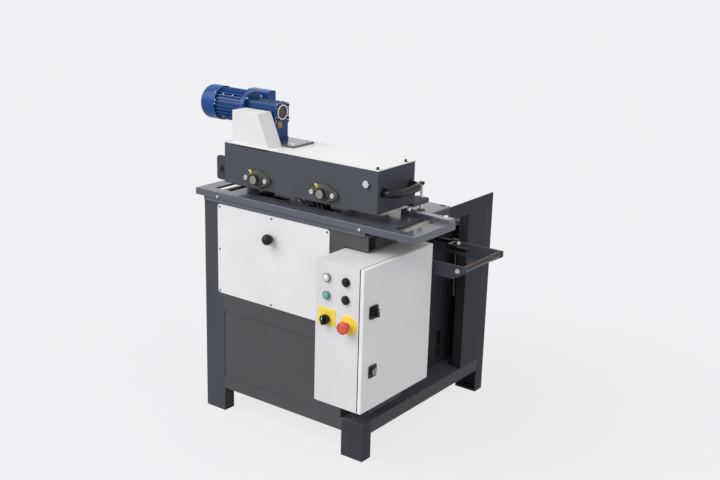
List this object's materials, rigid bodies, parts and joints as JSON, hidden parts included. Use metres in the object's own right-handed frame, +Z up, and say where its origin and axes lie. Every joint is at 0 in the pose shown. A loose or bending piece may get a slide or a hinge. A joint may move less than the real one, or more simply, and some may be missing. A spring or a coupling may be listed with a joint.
{
  "type": "multi-rip saw",
  "caption": "Floor-standing multi-rip saw: welded cabinet, roller table, tilting powered feed head with worm gear motor, swinging saw frame and side control box.",
  "frame": {"origin": "on the floor, midway between the four anchor holes of the feet", "axes": "+X along the table towards the infeed end, +Y towards the back of the cabinet, +Z up"},
  "size_m": [1.066, 1.0703, 1.23],
  "materials": {
    "graphite_paint": "satin",
    "white_paint": "fine texture",
    "blue_paint": "gloss",
    "black_paint": "satin",
    "cast_iron": "rough",
    "bright_steel": "turned",
    "black_plastic": "matt",
    "black_rubber": "matt",
    "yellow_plastic": "matt",
    "white_plastic": "gloss",
    "green_plastic": "gloss",
    "red_plastic": "gloss"
  },
  "bodies": {
    "base": {"legs": "graphite_paint", "frame_rails": "graphite_paint", "floor_plate": "graphite_paint", "front_fascia": "graphite_paint", "lower_panel": "graphite_paint", "access_cover": "white_paint", "access_knob": "black_plastic", "left_panel": "graphite_paint", "rear_panel": "graphite_paint", "inner_wall": "graphite_paint", "right_column": "graphite_paint", "top_deck": "graphite_paint", "table_top": "graphite_paint", "head_hinge": "graphite_paint", "pivot_blocks": "graphite_paint", "enclosure_box": "white_paint", "switchgear": "black_plastic", "legend_plates": "yellow_plastic", "button_sockets": "black_plastic", "cable_glands": "black_plastic", "control_cables": "black_rubber"},
    "outfeed_idler": {"table_roller_outfeed": "bright_steel"},
    "infeed_idler": {"table_roller_infeed": "bright_steel"},
    "fence": {"fence_bar": "bright_steel"},
    "head": {"head_sides": "graphite_paint", "head_ends": "graphite_paint", "head_cover": "white_paint", "head_handle": "black_paint", "flange_bearings": "cast_iron", "feed_chains": "bright_steel", "gearbox_plate": "graphite_paint", "worm_gearbox": "blue_paint", "feed_motor": "blue_paint", "fan_cowl": "blue_paint", "chain_guard": "white_paint", "finger_rod": "bright_steel"},
    "outfeed_roller": {"feed_roller_outfeed": "bright_steel"},
    "infeed_roller": {"feed_roller_infeed": "bright_steel"},
    "gear_output": {"gearbox_shaft": "bright_steel"},
    "fingers": {"kickback_fingers": "bright_steel"},
    "height_stop": {"stop_screw": "bright_steel"},
    "saw_frame": {"swing_frame": "graphite_paint", "lift_bar": "bright_steel", "arbor_housing": "cast_iron", "saw_motor": "cast_iron", "drive_belts": "black_rubber"},
    "arbor": {"saw_arbor": "bright_steel", "saw_blades": "bright_steel"},
    "motor_rotor": {"motor_pulley": "bright_steel"},
    "crank": {"lock_crank": "bright_steel"},
    "door": {"enclosure_door": "white_paint", "switch_plate": "black_plastic"},
    "mains_knob": {"mains_switch": "black_plastic"},
    "lock": {"door_lock": "bright_steel"},
    "white_button": {"button_white": "white_plastic"},
    "green_button": {"button_green": "green_plastic"},
    "upper_button": {"button_black_upper": "black_plastic"},
    "lower_button": {"button_black_lower": "black_plastic"},
    "selector": {"selector_knob": "black_plastic"},
    "emergency_stop": {"estop_head": "red_plastic"}
  },
  "joints": [
    {"name": "head_tilt", "type": "hinge", "parent": "base", "child": "head", "pos_m": [-0.319, -0.284, 0.95], "axis": [0, -1, 0], "range_deg": [0, 45]},
    {"name": "outfeed_roller_spin", "type": "hinge", "parent": "head", "child": "outfeed_roller", "pos_m": [-0.127, -0.284, 0.943], "axis": [0, 1, 0], "continuous": true},
    {"name": "infeed_roller_spin", "type": "hinge", "parent": "head", "child": "infeed_roller", "pos_m": [0.174, -0.284, 0.943], "axis": [0, 1, 0], "continuous": true},
    {"name": "gear_output_spin", "type": "hinge", "parent": "head", "child": "gear_output", "pos_m": [-0.188, -0.292, 1.117], "axis": [0, 1, 0], "continuous": true},
    {"name": "finger_swing", "type": "hinge", "parent": "head", "child": "fingers", "pos_m": [0.349, -0.272, 1.003], "axis": [0, 1, 0], "range_deg": [0, 30]},
    {"name": "height_stop_turn", "type": "hinge", "parent": "head", "child": "height_stop", "pos_m": [0.371, -0.094, 0.94], "axis": [0, 0, 1], "range_deg": [-180, 180]},
    {"name": "saw_lift", "type": "hinge", "parent": "base", "child": "saw_frame", "pos_m": [-0.306, -0.004, 0.675], "axis": [0, -1, 0], "range_deg": [0, 5]},
    {"name": "arbor_spin", "type": "hinge", "parent": "saw_frame", "child": "arbor", "pos_m": [0.011, -0.05, 0.742], "axis": [0, 1, 0], "continuous": true},
    {"name": "motor_spin", "type": "hinge", "parent": "saw_frame", "child": "motor_rotor", "pos_m": [-0.026, 0.163, 0.436], "axis": [0, 1, 0], "continuous": true},
    {"name": "lock_crank_turn", "type": "hinge", "parent": "base", "child": "crank", "pos_m": [0.4, 0.093, 0.703], "axis": [-1, 0, 0], "range_deg": [0, 90]},
    {"name": "outfeed_idler_spin", "type": "hinge", "parent": "base", "child": "outfeed_idler", "pos_m": [-0.309, -0.328, 0.856], "axis": [0, 1, 0], "continuous": true},
    {"name": "infeed_idler_spin", "type": "hinge", "parent": "base", "child": "infeed_idler", "pos_m": [0.486, -0.305, 0.85], "axis": [0, 1, 0], "continuous": true},
    {"name": "fence_slide", "type": "slide", "parent": "base", "child": "fence", "axis": [0, -1, 0], "range_m": [0, 0.008]},
    {"name": "door_swing", "type": "hinge", "parent": "base", "child": "door", "pos_m": [0.464, -0.1595, 0.52], "axis": [0, 0, 1], "range_deg": [0, 90]},
    {"name": "mains_switch_turn", "type": "hinge", "parent": "door", "child": "mains_knob", "pos_m": [0.475, -0.511, 0.619], "axis": [1, 0, 0], "range_deg": [0, 90]},
    {"name": "door_lock_turn", "type": "hinge", "parent": "door", "child": "lock", "pos_m": [0.475, -0.507, 0.41], "axis": [1, 0, 0], "range_deg": [0, 90]},
    {"name": "white_button_press", "type": "slide", "parent": "base", "child": "white_button", "axis": [0, 1, 0], "range_m": [0, 0.004], "stiffness_N_per_m": 300},
    {"name": "green_button_press", "type": "slide", "parent": "base", "child": "green_button", "axis": [0, 1, 0], "range_m": [0, 0.004], "stiffness_N_per_m": 300},
    {"name": "upper_button_press", "type": "slide", "parent": "base", "child": "upper_button", "axis": [0, 1, 0], "range_m": [0, 0.004], "stiffness_N_per_m": 300},
    {"name": "lower_button_press", "type": "slide", "parent": "base", "child": "lower_button", "axis": [0, 1, 0], "range_m": [0, 0.004], "stiffness_N_per_m": 300},
    {"name": "selector_turn", "type": "hinge", "parent": "base", "child": "selector", "pos_m": [0.326, -0.575, 0.574], "axis": [0, -1, 0], "range_deg": [0, 60]},
    {"name": "emergency_stop_press", "type": "slide", "parent": "base", "child": "emergency_stop", "axis": [0, 1, 0], "range_m": [0, 0.006], "stiffness_N_per_m": 500}
  ],
  "couplings": [
    {"joint": "infeed_roller_spin", "follows": "outfeed_roller_spin", "ratio": 1},
    {"joint": "gear_output_spin", "follows": "outfeed_roller_spin", "ratio": 1},
    {"joint": "motor_spin", "follows": "arbor_spin", "ratio": 0.6407}
  ]
}
